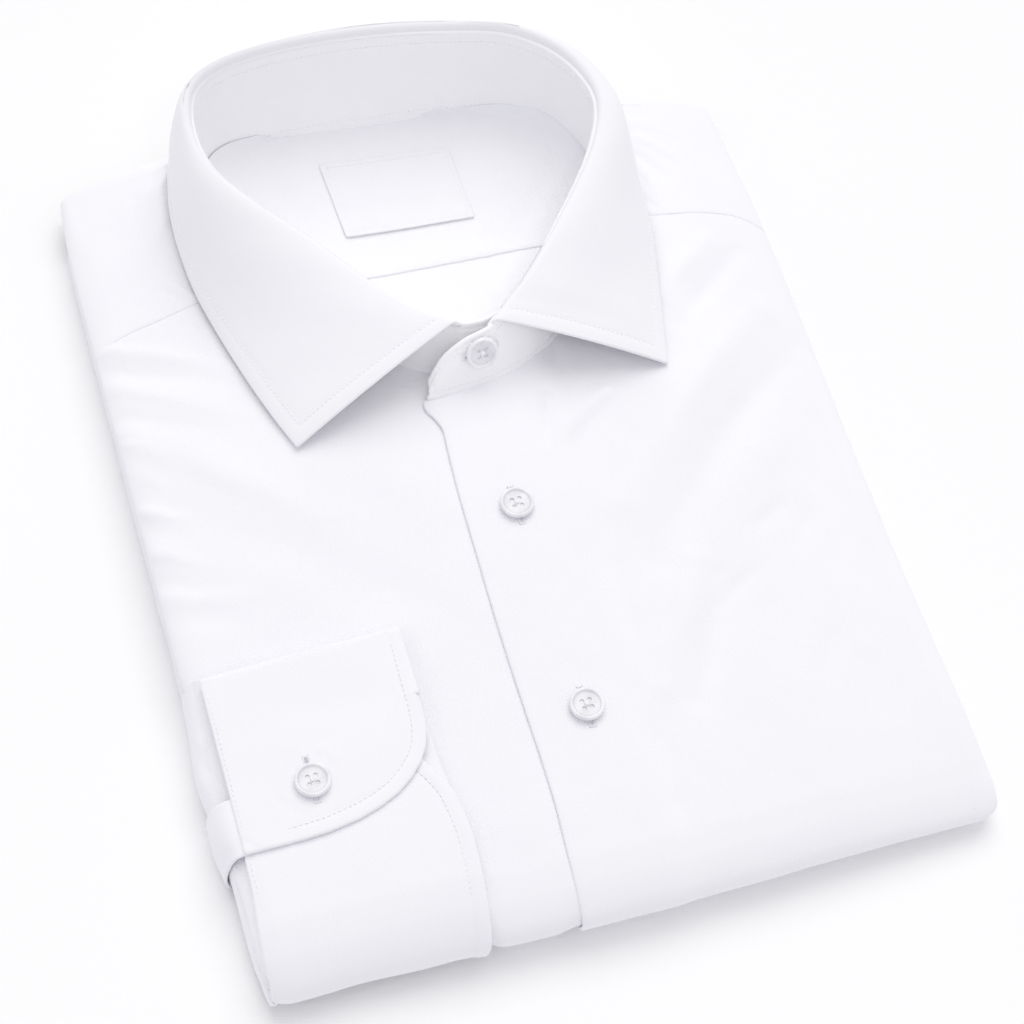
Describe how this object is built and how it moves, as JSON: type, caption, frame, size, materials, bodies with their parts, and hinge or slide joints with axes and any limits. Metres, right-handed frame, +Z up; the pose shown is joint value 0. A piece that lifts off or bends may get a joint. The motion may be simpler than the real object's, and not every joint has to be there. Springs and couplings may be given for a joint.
{
  "type": "folded dress shirt",
  "caption": "White long-sleeved dress shirt, folded flat with its sides and lower half behind, collar standing up, placket buttoned and a buttoned cuff laid on the front.",
  "frame": {"origin": "under the middle of the folded shirt, on the surface it lies on", "axes": "+X to the wearer's left, +Y from the bottom fold to the collar, +Z up"},
  "size_m": [0.2496, 0.3198, 0.0719],
  "materials": {
    "cloth": "fine white cotton twill, matt with a faint sheen",
    "collar_cloth": "the same white twill, fused and topstitched",
    "label": "plain woven satin, without text",
    "button": "pearly white, polished, four holes"
  },
  "bodies": {
    "root": {"front_left": "cloth", "front_right": "cloth", "yoke": "cloth", "yoke_inner": "cloth", "back": "cloth", "folded_layers": "cloth", "sleeve_right": "cloth", "sleeve_placket": "cloth", "collar_stand": "collar_cloth", "collar_fall": "collar_cloth", "cuff_right": "collar_cloth", "label": "label", "button_front_1": "button", "button_front_2": "button", "button_cuff": "button", "button_collar": "button"}
  },
  "joints": []
}
